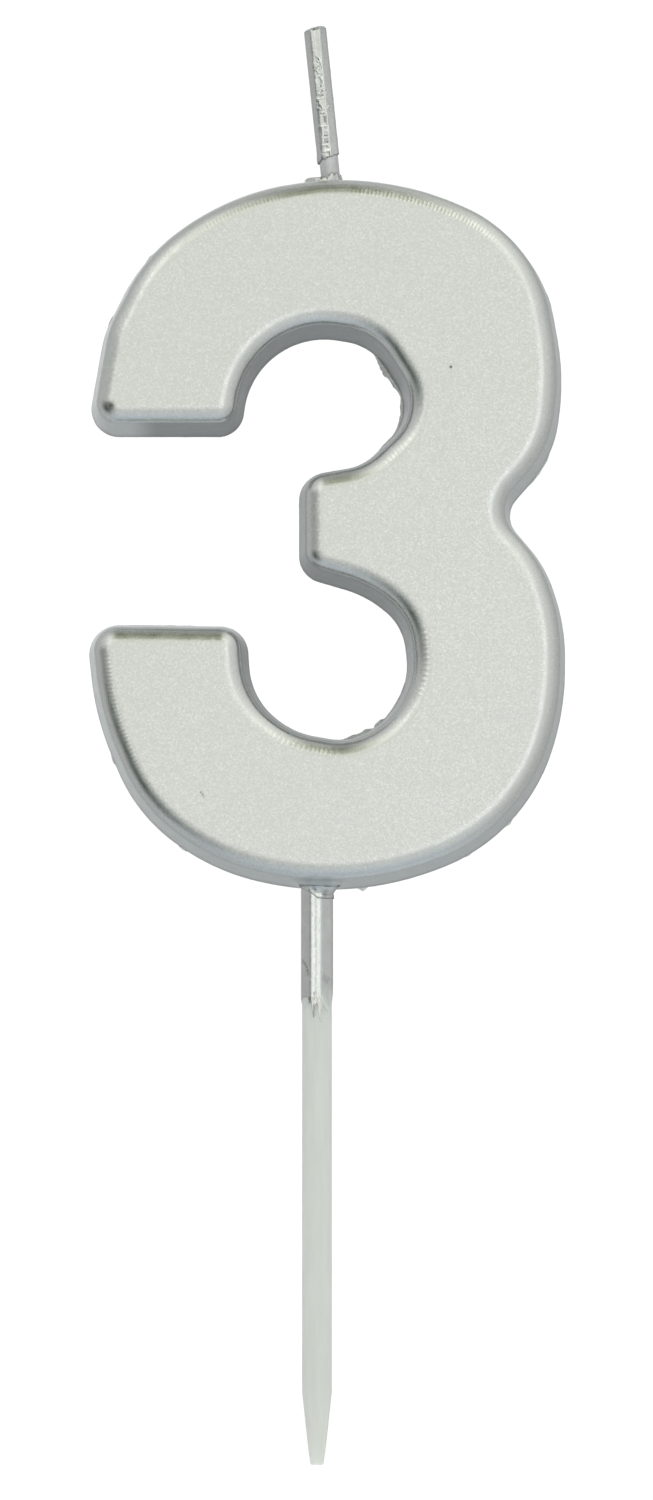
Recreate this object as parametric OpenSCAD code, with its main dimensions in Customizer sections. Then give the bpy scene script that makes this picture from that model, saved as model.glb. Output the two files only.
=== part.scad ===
// Number birthday candle: a cast wax "3" with a plaited wick and a plastic cake pick.
// +X is right and +Z is up as the numeral is read; its face looks along -Y. The origin is on
// the pick's axis, where the bare round shank begins below the sprayed part.

/* [Numeral] */
// Height of the numeral
numeral_h = 70; // [68:1:84]
// Thickness from face to back
numeral_t = 9; // [8:0.5:14]
// Radius of the rolled edge between the face and the side wall
edge_r = 1.7; // [1:0.1:1.7]
// How much the side wall narrows from back to front, so the casting leaves its mould
draft = 0.6; // [0.2:0.1:0.6]
// Small bevel round the back
back_bevel = 0.25; // [0.2:0.05:0.5]
// Thickness of the silver lacquer on the numeral
skin_t = 0.15; // [0.1:0.05:0.2]

/* [Wick] */
// Length of the wick above the numeral
wick_l = 15.4; // [8:0.2:25]
// Length of the wick buried in the wax
wick_buried = 12; // [4:0.5:13]
// Lean of the wick to the left, in degrees
wick_lean = 6; // [0:0.1:10]
// Radius of the waxed wick
wick_r = 0.95; // [0.9:0.05:1.1]
// Thickness of the lacquer on the wick
wick_coat = 0.19; // [0.05:0.01:0.25]
// Length of the bare neck above the numeral
neck_l = 1.7; // [1:0.1:4]
// Radius of one cotton yarn
yarn_r = 0.25; // [0.15:0.01:0.25]
// Length of one full plait
plait = 6; // [6:0.5:10]

/* [Pick] */
// Radius of the pick's round shank
pick_r = 1.5; // [1.5:0.05:1.8]
// Length of the bare round shank below the sprayed part
shank_l = 38; // [25:1:60]
// Length of the tapered end below the shank
taper_l = 7.1; // [5:0.1:12]
// Radius of the blunt tip
tip_r = 0.7; // [0.4:0.05:0.8]
// Length of the sprayed part between the shank and the numeral
sprayed_l = 12; // [6:0.5:20]
// Length of the ribbed head buried in the wax
head_l = 11; // [10:0.5:12]
// Height of the ribs on the head above the stem
rib_h = 0.4; // [0.2:0.05:0.6]
// Thickness of the lacquer on the pick
pick_coat = 0.08; // [0.05:0.01:0.12]

/* [Hidden] */
$fn = 48;
eps = 0.01;

// The numeral's outline, clockwise, as the corners where its straight runs would meet:
// [x, height above the underside, fillet radius], for a numeral 70 mm tall.
UPPER_TERMINAL = [-23, 44.9, 2.8];
UPPER_BOWL = [
    [-21.2, 55.2, 10], [-17.5, 62.6, 17], [-9, 68.9, 25], [3, 70.9, 28],
    [12, 69, 28], [22.3, 64.1, 15], [24.6, 51, 25], [23.6, 42.9, 12]
];
WAIST = [18.4, 37, 2.5];
LOWER_BOWL = [
    [22.7, 32, 12.5], [24.7, 26, 20], [24.6, 17.5, 26], [20.5, 4.9, 18.5],
    [3, -1.4, 30], [-10, 1.6, 22], [-17.9, 7.1, 17], [-22, 17, 28]
];
LOWER_TERMINAL = [[-23, 26.2, 3], [-7, 26, 2.8]];
LOWER_COUNTER = [
    [-6.5, 19, 7], [-2.5, 15.5, 8], [2.5, 14.6, 5], [9.6, 17, 7.5], [8.5, 26, 5.5], [5, 29, 11]
];
ARM = [[-1.8, 31, 2.7], [-1.8, 40.9, 2.8]];
UPPER_COUNTER = [[4.5, 42, 5.5], [9.8, 47.1, 4.4], [5.4, 54, 5.5], [-6, 55.8, 8]];
UPPER_INNER_CORNER = [-7.6, 44.9, 2.6];

// The outer chain runs over the bowls from terminal to terminal, the inner one back past the arm.
OUTER_CORNERS = concat([UPPER_TERMINAL], UPPER_BOWL, [WAIST], LOWER_BOWL, [LOWER_TERMINAL[0]]);
INNER_CORNERS = concat(
    [LOWER_TERMINAL[1]], LOWER_COUNTER, ARM, UPPER_COUNTER, [UPPER_INNER_CORNER]
);
scale_k = numeral_h / 70;
CORNERS = scale_k * concat(OUTER_CORNERS, INNER_CORNERS);
arc_step = 10;

numeral_z = sprayed_l;
top_z = numeral_z + 70.35 * scale_k;
wick_x = 1.35;
face_y = -numeral_t / 2;
back_y = numeral_t / 2;

// ---- Outline: each corner becomes an arc whose centre stays put when the outline is inset ----
function unit(v) = v / norm(v);
function flat(p) = [p[0], p[1]];
function corner(i) = CORNERS[(i + len(CORNERS)) % len(CORNERS)];
function heading(i) = unit(flat(corner(i + 1)) - flat(corner(i)));
function turn(i) =
    let (u = heading(i - 1), w = heading(i))
    atan2(u[0] * w[1] - u[1] * w[0], u * w);
function steps(i) = max(2, ceil(abs(turn(i)) / arc_step));

function corner_arc(i, inset) =
    let (
        u = heading(i - 1),
        t = turn(i),
        r = corner(i)[2],
        side = t < 0 ? 1 : -1,
        inward = [u[1], -u[0]],
        from = flat(corner(i)) - u * r * tan(abs(t) / 2),
        centre = from + side * r * inward,
        a0 = atan2(-side * inward[1], -side * inward[0]),
        n = steps(i)
    )
    [for (j = [0:n]) centre + (r - side * inset) * [cos(a0 + t * j / n), sin(a0 + t * j / n)]];

function ring(inset) = [for (i = [0:len(CORNERS) - 1]) each corner_arc(i, inset)];
function count(first, last) = first > last ? 0 : steps(first) + 1 + count(first + 1, last);

ring_n = count(0, len(CORNERS) - 1);
outer_n = count(0, len(OUTER_CORNERS) - 1);

// Triangles across the stroke: walk both chains together and take the shorter diagonal each time.
function across(p, i = 0, j = 0, done = []) =
    let (
        last_i = outer_n - 1,
        last_j = ring_n - outer_n - 1,
        here = ring_n - 1 - j,
        ahead = here - 1
    )
    i == last_i && j == last_j ? done :
    j == last_j || (i < last_i && norm(p[i + 1] - p[here]) <= norm(p[i] - p[ahead]))
        ? across(p, i + 1, j, concat(done, [[i, i + 1, here]]))
        : across(p, i, j + 1, concat(done, [[i, ahead, here]]));

// A solid with the numeral's outline, through a list of [inset, y] from the face to the back.
module numeral_loft(profile) {
    n = ring_n;
    m = len(profile);
    rings = [for (s = profile) ring(s[0])];
    points = [for (k = [0:m - 1]) each [for (p = rings[k]) [p[0], profile[k][1], numeral_z + p[1]]]];
    front = across(rings[0]);
    back = [for (f = across(rings[m - 1])) [for (q = [2:-1:0]) f[q] + n * (m - 1)]];
    sides = [
        for (k = [0:m - 2]) for (i = [0:n - 1])
            [k * n + i, (k + 1) * n + i, (k + 1) * n + (i + 1) % n, k * n + (i + 1) % n]
    ];
    polyhedron(points, concat(front, sides, back), convexity = 10);
}

// Rolled front edge, drafted wall and bevelled back, all set in by t for the wax under the skin.
function numeral_profile(t) = concat(
    [for (a = [0:18:90])
        [draft + edge_r - (edge_r - t) * sin(a), face_y + edge_r - (edge_r - t) * cos(a)]],
    [[t, back_y - back_bevel], [back_bevel, back_y - t]]
);

module numeral_outside() {
    numeral_loft(numeral_profile(0));
}

module numeral_inside() {
    numeral_loft(numeral_profile(skin_t));
}

// ---- Wick ----
module at_wick() {
    translate([wick_x, 0, top_z]) rotate([0, -wick_lean, 0]) children();
}

// The waxed wick's round body, square at both ends
module wick_body() {
    translate([0, 0, -wick_buried]) cylinder(h = wick_buried + wick_l, r = wick_r);
}

// The wick was snipped at a slight slant, lower on the left, before it was coated
snip_slope = 0.15;
end_coat = 0.25;
function snip(x) = wick_l - 0.3 + snip_slope * x;

// What of a child lies below the slanted end, or that far below it
module below_snip(drop = 0) {
    intersection() {
        children();
        translate([0, 0, snip(0) - drop]) rotate([0, -atan(snip_slope), 0])
            translate([-40, -5, -60]) cube([80, 10, 60]);
    }
}

// Three-strand plait: each yarn swings from side to side while it weaves over and under
plait_x = 0.58;
plait_y = 0.3;
function yarn_at(k, s) =
    let (a = 360 * s / plait + 120 * k)
    [plait_x * sin(a), plait_y * sin(2 * a), s];

module yarn(k) {
    sides = 8;
    bottom = -wick_buried + 0.4;
    end = snip(yarn_at(k, wick_l - 0.6)[0]) - end_coat - 0.3;
    n = ceil((end - bottom) / plait * 12);
    at = [for (i = [0:n]) bottom + (end - bottom) * i / n];
    points = [
        for (s = at)
            let (
                c = yarn_at(k, s),
                t = unit(yarn_at(k, s + eps) - yarn_at(k, s - eps)),
                u = unit(cross([0, 1, 0], t)),
                v = cross(t, u)
            )
            each [for (q = [0:sides - 1])
                c + yarn_r * (u * cos(360 * q / sides) + v * sin(360 * q / sides))]
    ];
    walls = [
        for (i = [0:n - 1]) for (q = [0:sides - 1])
            let (a = i * sides + q, b = i * sides + (q + 1) % sides)
            each [[a, a + sides, b + sides], [a, b + sides, b]]
    ];
    caps = [[for (q = [0:sides - 1]) q], [for (q = [sides - 1:-1:0]) n * sides + q]];
    polyhedron(points, concat(walls, caps), convexity = 6);
}

module wick_strand(k) {
    color([0.93, 0.91, 0.86]) at_wick() yarn(k);
}

module wick_wax_jacket() {
    color([0.88, 0.88, 0.84]) at_wick() difference() {
        below_snip(end_coat) wick_body();
        for (k = [0:2]) yarn(k);
    }
}

// Lacquer over the wick and its end; it starts above a bare neck
module wick_silver_sleeve() {
    color([0.72, 0.73, 0.72]) at_wick() difference() {
        below_snip() translate([0, 0, neck_l]) cylinder(h = wick_l - neck_l, r = wick_r + wick_coat);
        below_snip(end_coat) wick_body();
    }
}

// Thin collar of wax and lacquer round the foot of the wick, running out to the left
module wick_root_bead() {
    run_out = 0.7;
    foot_r = wick_r + run_out + 0.25;
    color([0.78, 0.79, 0.77]) difference() {
        translate([wick_x - run_out, 0, top_z]) rotate_extrude() polygon([
            [0, -1], [foot_r, -1], [foot_r - 0.05, 0.1],
            [foot_r - 0.45, 0.4], [wick_r + 0.2, 0.55], [0, 0.55]
        ]);
        numeral_outside();
        at_wick() wick_body();
    }
}

// ---- Pick ----
tip_z = -shank_l - taper_l;
head_z = numeral_z + head_l;
stem_top_r = pick_r + 0.02;
tip_arc = [for (a = [-90:15:0]) [tip_r - 0.3 + 0.3 * cos(a), tip_z + 0.3 + 0.3 * sin(a)]];

// Half section of one rib: three of them key the buried head into the wax
function rib(z) = [
    [stem_top_r, z - 0.8], [stem_top_r + rib_h, z - 0.2],
    [stem_top_r + rib_h, z + 0.2], [stem_top_r, z + 0.8]
];

module pick_solid() {
    rotate_extrude() polygon(concat(
        [[0, tip_z]],
        tip_arc,
        [[pick_r, -shank_l], [pick_r, 0], [stem_top_r, numeral_z + 1]],
        rib(numeral_z + 3), rib(numeral_z + 5.5), rib(numeral_z + 8),
        [[stem_top_r, head_z - 0.5], [stem_top_r - 0.5, head_z], [0, head_z]]
    ));
}

module pick_stem() {
    color([0.82, 0.84, 0.81]) pick_solid();
}

// Outer surface of the lacquer on the pick, tapering to nothing at its lower edge
module sprayed_pick() {
    rotate_extrude() polygon([
        [0, 0.1], [pick_r + 0.02, 0.1], [stem_top_r + pick_coat, 1.2],
        [stem_top_r + pick_coat + 0.02, numeral_z + 1.5], [0, numeral_z + 1.5]
    ]);
}

module pick_silver_sleeve() {
    color([0.7, 0.71, 0.7]) difference() {
        sprayed_pick();
        pick_solid();
        numeral_outside();
    }
}

// Bead of wax and lacquer where the pick enters the numeral, fuller on the right
module pick_root_bead() {
    color([0.74, 0.75, 0.74]) difference() {
        translate([0.22, 0, numeral_z]) rotate_extrude() polygon([
            [0, -1.3], [pick_r - 0.1, -1.3], [pick_r + 0.22, -1.05],
            [pick_r + 0.42, -0.6], [pick_r + 0.58, 0.5], [0, 0.5]
        ]);
        sprayed_pick();
        numeral_outside();
    }
}

// ---- Numeral ----
module wax_numeral() {
    color([0.93, 0.92, 0.88]) difference() {
        numeral_inside();
        at_wick() wick_body();
        pick_solid();
    }
}

module silver_skin() {
    color([0.8, 0.81, 0.79]) difference() {
        numeral_outside();
        numeral_inside();
        at_wick() wick_body();
        pick_solid();
    }
}

wax_numeral();
silver_skin();
wick_strand(0);  // wick_strand_1
wick_strand(1);  // wick_strand_2
wick_strand(2);  // wick_strand_3
wick_wax_jacket();
wick_silver_sleeve();
wick_root_bead();
pick_stem();
pick_silver_sleeve();
pick_root_bead();
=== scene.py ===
import bpy
import math
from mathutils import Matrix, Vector, noise
from mathutils.geometry import delaunay_2d_cdt

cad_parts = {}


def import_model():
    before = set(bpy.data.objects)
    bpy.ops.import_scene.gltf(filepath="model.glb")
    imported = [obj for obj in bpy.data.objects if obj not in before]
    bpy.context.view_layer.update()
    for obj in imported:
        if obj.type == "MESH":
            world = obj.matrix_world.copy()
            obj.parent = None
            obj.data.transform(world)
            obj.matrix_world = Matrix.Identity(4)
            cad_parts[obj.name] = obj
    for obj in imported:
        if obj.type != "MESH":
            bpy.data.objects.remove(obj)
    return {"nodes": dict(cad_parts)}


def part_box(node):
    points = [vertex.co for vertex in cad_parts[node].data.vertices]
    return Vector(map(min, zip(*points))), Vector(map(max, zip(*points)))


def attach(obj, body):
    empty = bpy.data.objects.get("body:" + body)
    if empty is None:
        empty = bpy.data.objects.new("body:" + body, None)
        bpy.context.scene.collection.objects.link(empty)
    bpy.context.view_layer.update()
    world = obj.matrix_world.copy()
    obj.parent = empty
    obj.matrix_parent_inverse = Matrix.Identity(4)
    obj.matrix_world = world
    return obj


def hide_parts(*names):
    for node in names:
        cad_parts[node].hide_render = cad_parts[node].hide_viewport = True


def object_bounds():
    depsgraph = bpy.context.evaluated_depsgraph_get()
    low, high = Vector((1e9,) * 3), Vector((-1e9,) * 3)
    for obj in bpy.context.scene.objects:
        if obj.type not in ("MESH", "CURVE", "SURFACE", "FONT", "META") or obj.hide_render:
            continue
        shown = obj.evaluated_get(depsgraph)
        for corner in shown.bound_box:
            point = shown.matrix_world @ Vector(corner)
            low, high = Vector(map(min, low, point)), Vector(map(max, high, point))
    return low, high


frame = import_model()
cad_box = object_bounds()
MM = 0.001


# ------------------------------------------------------------------ outline
# The corners where the numeral's straight runs would meet, in mm: x, height above the
# numeral's underside, fillet radius. The outer chain runs over the bowls, the inner one back.
OUTER = [
    (-23, 44.9, 2.8), (-21.2, 55.2, 10), (-17.5, 62.6, 17), (-9, 68.9, 25), (3, 70.9, 28),
    (12, 69, 28), (22.3, 64.1, 15), (24.6, 51, 25), (23.6, 42.9, 12), (18.4, 37, 2.5),
    (22.7, 32, 12.5), (24.7, 26, 20), (24.6, 17.5, 26), (20.5, 4.9, 18.5), (3, -1.4, 30),
    (-10, 1.6, 22), (-17.9, 7.1, 17), (-22, 17, 28), (-23, 26.2, 3),
]
INNER = [
    (-7, 26, 2.8), (-6.5, 19, 7), (-2.5, 15.5, 8), (2.5, 14.6, 5), (9.6, 17, 7.5),
    (8.5, 26, 5.5), (5, 29, 11), (-1.8, 31, 2.7), (-1.8, 40.9, 2.8), (4.5, 42, 5.5),
    (9.8, 47.1, 4.4), (5.4, 54, 5.5), (-6, 55.8, 8), (-7.6, 44.9, 2.6),
]
CORNERS = OUTER + INNER
NUMERAL_Z = 12.0
skin_lo, skin_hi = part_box("silver_skin")
FACE_Y = skin_lo[1] / MM
BACK_Y = skin_hi[1] / MM
# The rolled edge's radius, the wall's draft, and the spacing of the mesh round the outline and inside it
EDGE_R = 1.6
DRAFT = 0.6
PITCH = 0.2
GRID = 0.8


def arcs():
    """Each corner as (centre, radius, side, start angle, turn) in x, z."""
    out = []
    n = len(CORNERS)
    for i in range(n):
        a, b, c = (Vector(CORNERS[(i + k) % n][:2]) for k in (-1, 0, 1))
        r = CORNERS[i][2]
        u = (b - a).normalized()
        w = (c - b).normalized()
        turn = math.atan2(u.x * w.y - u.y * w.x, u.dot(w))
        side = 1 if turn < 0 else -1
        inward = Vector((u.y, -u.x))
        start = b - u * r * math.tan(abs(turn) / 2)
        centre = start + side * r * inward
        a0 = math.atan2(-side * inward.y, -side * inward.x)
        out.append((centre, r, side, a0, turn))
    return out


ARCS = arcs()


def station_list(pitch):
    """Stations round the outline: arc index, share of its turn, share of the straight run after it."""
    out = []
    n = len(ARCS)
    for i, (c, r, _, a0, turn) in enumerate(ARCS):
        k = max(6, math.ceil(abs(turn) * (r + 0.5) / pitch), math.ceil(abs(turn) / math.radians(5)))
        for j in range(k + 1):
            out.append((i, j / k, 0.0))
        c2, r2, _, b0, _ = ARCS[(i + 1) % n]
        p = c + r * Vector((math.cos(a0 + turn), math.sin(a0 + turn)))
        q = c2 + r2 * Vector((math.cos(b0), math.sin(b0)))
        m = math.ceil((q - p).length / pitch)
        for j in range(1, m):
            out.append((i, 1.0, j / m))
    return out


STATIONS = station_list(PITCH)


def outline_point(st, inset):
    """Where a station lies on the outline drawn in by an inset."""
    i, share, run = st
    c, r, side, a0, turn = ARCS[i]
    a = a0 + turn * share
    p = c + (r - side * inset) * Vector((math.cos(a), math.sin(a)))
    if run:
        c2, r2, s2, b0, _ = ARCS[(i + 1) % len(ARCS)]
        q = c2 + (r2 - s2 * inset) * Vector((math.cos(b0), math.sin(b0)))
        p = p.lerp(q, run)
    return p


def outline(inset):
    return [outline_point(s, inset) for s in STATIONS]


BASE = outline(0.0)
ARC_LEN = [0.0]
for k in range(1, len(BASE) + 1):
    ARC_LEN.append(ARC_LEN[-1] + (BASE[k % len(BASE)] - BASE[k - 1]).length)


# ------------------------------------------------------------------ mesh helpers
def new_object(name, verts, faces, smooth=True):
    me = bpy.data.meshes.new(name)
    me.from_pydata([tuple(v) for v in verts], [], faces)
    me.validate()
    for p in me.polygons:
        p.use_smooth = smooth
    ob = bpy.data.objects.new(name, me)
    bpy.context.scene.collection.objects.link(ob)
    return ob


def point_values(ob, name, values):
    """Store one number per vertex for a material to read."""
    ob.data.attributes.new(name, "FLOAT", "POINT").data.foreach_set("value", values)


def mm(v):
    return (v[0] * MM, v[1] * MM, v[2] * MM)


def fbm(x, y, z, octaves=3):
    return noise.fractal(Vector((x, y, z)), 1.0, 2.0, octaves)


# ------------------------------------------------------------------ the silver skin
# Rings of the skin carry a place across the edge, kept in the "rim" UV layer beside the length along
# the outline: 0 to 1 over the rolled edge, 1 to 2 down the wall, 2.1 to 2.6 over the flash fin and
# 2.8 to 3.2 round the back's bevel. The two flat sheets lie outside that.
FACE_V = -0.2
BACK_V = 3.4
# The face runs softly into its rolled edge: reach of the soft start, and the slope it dies out at
SOFT_W = 0.34
SOFT_SLOPE = math.radians(5)
# Slopes of the rolled edge that have a ring, in degrees, and the number of rings down the wall
EDGE_DEGREES = (0, 1, 2, 3, 4.5, 6, 8, 10, 13, 16, 20, 25, 31, 37, 43, 50, 57, 64, 71, 77, 84, 90)
WALL_RINGS = 12
# The back corner: reach of the wall's last ring, then the fin (share of the flash's width, distance
# from the back, place across) and the bevel (inset, distance from the back, place across)
WALL_STOP = 0.3
FIN_RINGS = ((0.0, 0.24, 2.1), (0.85, 0.16, 2.25), (1.0, 0.12, 2.35), (0.85, 0.09, 2.45), (0.0, 0.06, 2.6))
BEVEL_RINGS = ((0.1, 0.02, 2.8), (0.25, 0.0, 3.0), (0.6, 0.0, 3.2))
# The wall's unevenness, taken inward, and the middle of the pick's root
WAVE = 0.02
ROOT_X = 0.2

# Marks in the face: x, height above the underside, radius, depth (a bump is negative), strength of the
# painted shade in and round the mark
FACE_MARKS = [
    (-20.4, 47.2, 0.42, 0.03, 1.5), (13.2, 51.05, 0.15, 0.10, 1.2), (-0.7, 56.4, 0.22, -0.05, 0.0),
    (-11.45, 9.0, 0.10, 0.05, 0.7), (-11.3, 8.8, 0.10, 0.06, 0.9), (-11.15, 8.6, 0.10, 0.05, 0.7),
]
# Mould flash along the back edge: x, height above the underside, reach along the edge, width
FLASH = [
    (-20.7, 56.6, 0.8, 0.12), (-16.4, 62.8, 0.9, 0.14), (22.8, 58.4, 1.0, 0.10), (22.1, 41.7, 2.0, 0.17),
    (7.2, 51.2, 2.5, 0.62), (8.3, 47.4, 2.4, 0.30), (7.4, 44.6, 1.8, 0.16), (7.9, 18.4, 2.4, 0.14),
    (6.3, 16.6, 0.45, 0.34), (5.9, 16.2, 0.35, 0.30), (4.0, 15.3, 1.7, 0.36), (4.5, -0.1, 0.5, 0.36),
    (14.8, 3.5, 0.5, 0.18), (18.9, 6.6, 0.5, 0.20), (-13.2, 4.1, 0.6, 0.16), (-20.0, 12.8, 0.6, 0.16),
    (-15.5, 26.1, 4.5, 0.06),
]
# Patches of the rolled edge with tool marks: x, height above the underside, reach, strength
TOOLED = [
    (11.5, 68.5, 9.5, 1.0), (-19.8, 16.5, 7.5, 0.9), (10.2, 22.0, 4.5, 0.9), (-1.0, 15.0, 4.5, 0.8),
    (7.0, 43.8, 3.2, 0.7), (-7.5, 66.0, 5.5, 0.5), (-21.9, 22.5, 3.0, 0.4), (24.0, 28.0, 7.0, 0.35),
]


def mark_depth(x, z):
    """Depth of the marks at a place on the face, at a height above the underside."""
    y = 0.0
    for cx, cz, r, depth, _ in FACE_MARKS:
        d = math.hypot(x - cx, z - cz) / r
        if d < 1:
            y += depth * (1 - d * d) ** 2
    return y


def face_y(x, z):
    """The cast face sinks a hair below its edge and carries small marks; heights above the underside."""
    sink = 0.006 * (1 + fbm(x * 0.12, z * 0.12, 3.1, 3))
    return max(FACE_Y + 0.004, FACE_Y + sink + mark_depth(x, z))


def flash_width(x, z):
    """How far the torn flash stands out of the back edge, at a height above the underside."""
    w = 0.02 + 0.025 * max(0.0, fbm(x * 1.7, z * 1.7, 7.7, 2))
    for cx, cz, reach, width in FLASH:
        d = math.hypot(x - cx, z - cz) / reach
        if d < 1:
            tear = 0.8 + 0.5 * fbm(x * 1.1, z * 1.1, 2.2, 2) + 0.12 * fbm(x * 4.0, z * 4.0, 5.5, 2)
            w += width * (1 - d * d) * max(0.0, tear)
    return w


def tooling(x, z):
    """How strongly the rolled edge is tool-marked at a point, from 0 to 1."""
    t = 0.06
    for cx, cz, reach, strength in TOOLED:
        d = math.hypot(x - cx, z - cz) / reach
        if d < 1:
            t = max(t, strength * min(1.0, 1.8 * (1 - d * d)))
    return t


def painted_shade_at(x, y, z):
    """Painted shade in small pits, round the pick's root and at the foot of the wick; 0 is none."""
    if y < FACE_Y + 1.2:
        for cx, cz, r, _, shade_painted in FACE_MARKS:
            d = math.hypot(x - cx, z - NUMERAL_Z - cz) / r
            if d < 2.5:
                return shade_painted * math.exp(-d * d)
    if z < NUMERAL_Z + 5:
        return 0.8 * math.exp(-((math.hypot(x - ROOT_X, y) - 1.7) / 0.35) ** 2)
    if z > NUMERAL_Z + 65:
        return 0.5 * math.exp(-((math.hypot(x - WICK_X, y) - 1.4) / 0.5) ** 2)
    return 0.0


def skin_profile():
    """Rings from the face over the rolled edge and down the wall: inset, y, place across."""
    plateau = DRAFT + EDGE_R
    wall_end = BACK_Y - WALL_STOP
    rings = []
    y, slope = FACE_Y, 0.0
    for degrees in EDGE_DEGREES:
        a = math.radians(degrees)
        while slope < a - 1e-9:
            step = min(math.radians(0.25), a - slope)
            mid = slope + step / 2
            run = EDGE_R * math.cos(mid) + SOFT_W / SOFT_SLOPE * math.exp(-mid / SOFT_SLOPE)
            y += run * math.tan(mid) * step
            slope += step
        inset = plateau - EDGE_R * math.sin(a) + SOFT_W * math.exp(-a / SOFT_SLOPE)
        rings.append((inset, y, degrees / 90))
    wall_top = y
    for k in range(1, WALL_RINGS + 1):
        f = k / WALL_RINGS
        rings.append((DRAFT * (1 - f), wall_top + (wall_end - wall_top) * f, 1 + f))
    return rings


def build_skin():
    """The sprayed shell: rolled edge, uneven wall, torn flash, bevel, and a sheet front and back."""
    n = len(STATIONS)
    normals = []
    for k in range(n):
        t = (BASE[(k + 1) % n] - BASE[k - 1]).normalized()
        normals.append(Vector((-t.y, t.x)))
    lo_x, hi_x = skin_lo[0] / MM, skin_hi[0] / MM
    hi_z = skin_hi[2] / MM - NUMERAL_Z
    rows = []
    for inset, y, v in skin_profile():
        row = []
        for k, st in enumerate(STATIONS):
            p = outline_point(st, inset)
            if v > 0.02:
                wave = WAVE * fbm(p.x * 0.35, y * 0.6, p.y * 0.35, 2)
                wave += 0.3 * WAVE * fbm(p.x * 2, y * 2, p.y * 2, 2)
                p = p + normals[k] * (wave - WAVE) * min(1.0, 4 * v)
            if 1.0 < v < 2.0 and p.y < 1.0:
                # the wall fills out to the underside round the pick
                round_pick = math.exp(-((p.x - ROOT_X) / 2.3) ** 4) * min(1.0, y - FACE_Y - EDGE_R)
                p = Vector((p.x, p.y + (BASE[k].y - p.y) * round_pick))
            yy = y + mark_depth(p.x, p.y) if v < 0.3 else y
            row.append((p, max(yy, FACE_Y), v))
        rows.append(row)
    for out, back, v in FIN_RINGS:
        row = []
        for k, st in enumerate(STATIONS):
            p = outline_point(st, 0.03)
            p = p + normals[k] * flash_width(p.x, p.y) * out
            p = Vector((min(max(p.x, lo_x), hi_x), min(p.y, hi_z)))
            row.append((p, BACK_Y - back, v))
        rows.append(row)
    for inset, back, v in BEVEL_RINGS:
        rows.append([(outline_point(st, inset), BACK_Y - back, v) for st in STATIONS])
    verts = [(p.x, y, p.y + NUMERAL_Z) for row in rows for p, y, v in row]
    vs = [row[0][2] for row in rows]
    faces, loops_u, loops_v = [], [], []
    for r in range(len(rows) - 1):
        for k in range(n):
            k2 = (k + 1) % n
            faces.append((r * n + k, r * n + k2, (r + 1) * n + k2, (r + 1) * n + k))
            loops_u.append((ARC_LEN[k], ARC_LEN[k + 1], ARC_LEN[k + 1], ARC_LEN[k]))
            loops_v.append((vs[r], vs[r], vs[r + 1], vs[r + 1]))
    for ring_index, front in ((0, True), (len(rows) - 1, False)):
        sheet(verts, faces, loops_u, loops_v, ring_index * n, normals, front)
    ob = new_object("silver_numeral", [mm(v) for v in verts], faces)
    point_values(ob, "tooling", [tooling(x, z - NUMERAL_Z) for x, y, z in verts])
    # painted shade stored on the points: in the face's pits, round the pick's root and at the wick's foot
    point_values(ob, "painted_shading", [painted_shade_at(x, y, z) for x, y, z in verts])
    uv = ob.data.uv_layers.new(name="rim")
    i = 0
    for us, vv in zip(loops_u, loops_v):
        for pair in zip(us, vv):
            uv.data[i].uv = pair
            i += 1
    return ob


def sheet(verts, faces, loops_u, loops_v, first, normals, front):
    """Fill a ring of vertices with a triangulated sheet, on a grid so the cast face can wave."""
    n = len(STATIONS)
    pts = []
    for k in range(n):
        # a hair of bulge on straight runs, so that no three edge points are in line
        run = STATIONS[k][2]
        x, _, z = verts[first + k]
        pts.append(Vector((x, z)) + normals[k] * 0.008 * run * (1 - run))
    test = inside_test(pts)
    inner = grid_inside(pts, GRID, test)
    if front:
        inner = refine_marks(inner, pts, test)
    cdt = delaunay_2d_cdt(pts + inner, [], [list(range(n))], 1, 1e-7, True)
    points, triangles, sources = cdt[0], cdt[2], cdt[3]
    index = {}
    for ci, src in enumerate(sources):
        hit = [q for q in src if q < n]
        if hit:
            index[ci] = first + hit[0]
        else:
            p = points[ci]
            index[ci] = len(verts)
            verts.append((p.x, face_y(p.x, p.y - NUMERAL_Z) if front else BACK_Y, p.y))
    for tri in triangles:
        if not test(sum((points[i] for i in tri), Vector((0, 0))) / len(tri)):
            continue
        f = [index[i] for i in tri]
        a, b, c = (Vector(verts[i]) for i in f[:3])
        if ((b - a).cross(c - a).y < 0) != front:
            f = f[::-1]
        faces.append(tuple(f))
        loops_u.append((0.0,) * len(f))
        loops_v.append((FACE_V if front else BACK_V,) * len(f))


def refine_marks(inner, edge, test):
    """Swap the coarse grid for a fine one where the face is marked."""
    def clear(p):
        return all(math.hypot(p.x - x, p.y - NUMERAL_Z - z) > r + 0.1 for x, z, r, *_ in FACE_MARKS)

    out = [p for p in inner if clear(p)]
    taken = set()
    for x, z, r, *_ in FACE_MARKS:
        step = max(0.04, r / 7)
        m = math.ceil((r + 0.05) / step)
        close = [q for q in edge if (q - Vector((x, z + NUMERAL_Z))).length < 2 * r + 0.3]
        for i in range(-m, m + 1):
            for j in range(-m, m + 1):
                p = Vector((x + (i + 0.5 * (j % 2)) * step, z + NUMERAL_Z + j * step))
                key = (round(p.x / 0.03), round(p.y / 0.03))
                if key in taken or not test(p) or any((q - p).length < step for q in close):
                    continue
                taken.add(key)
                out.append(p)
    return out


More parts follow.
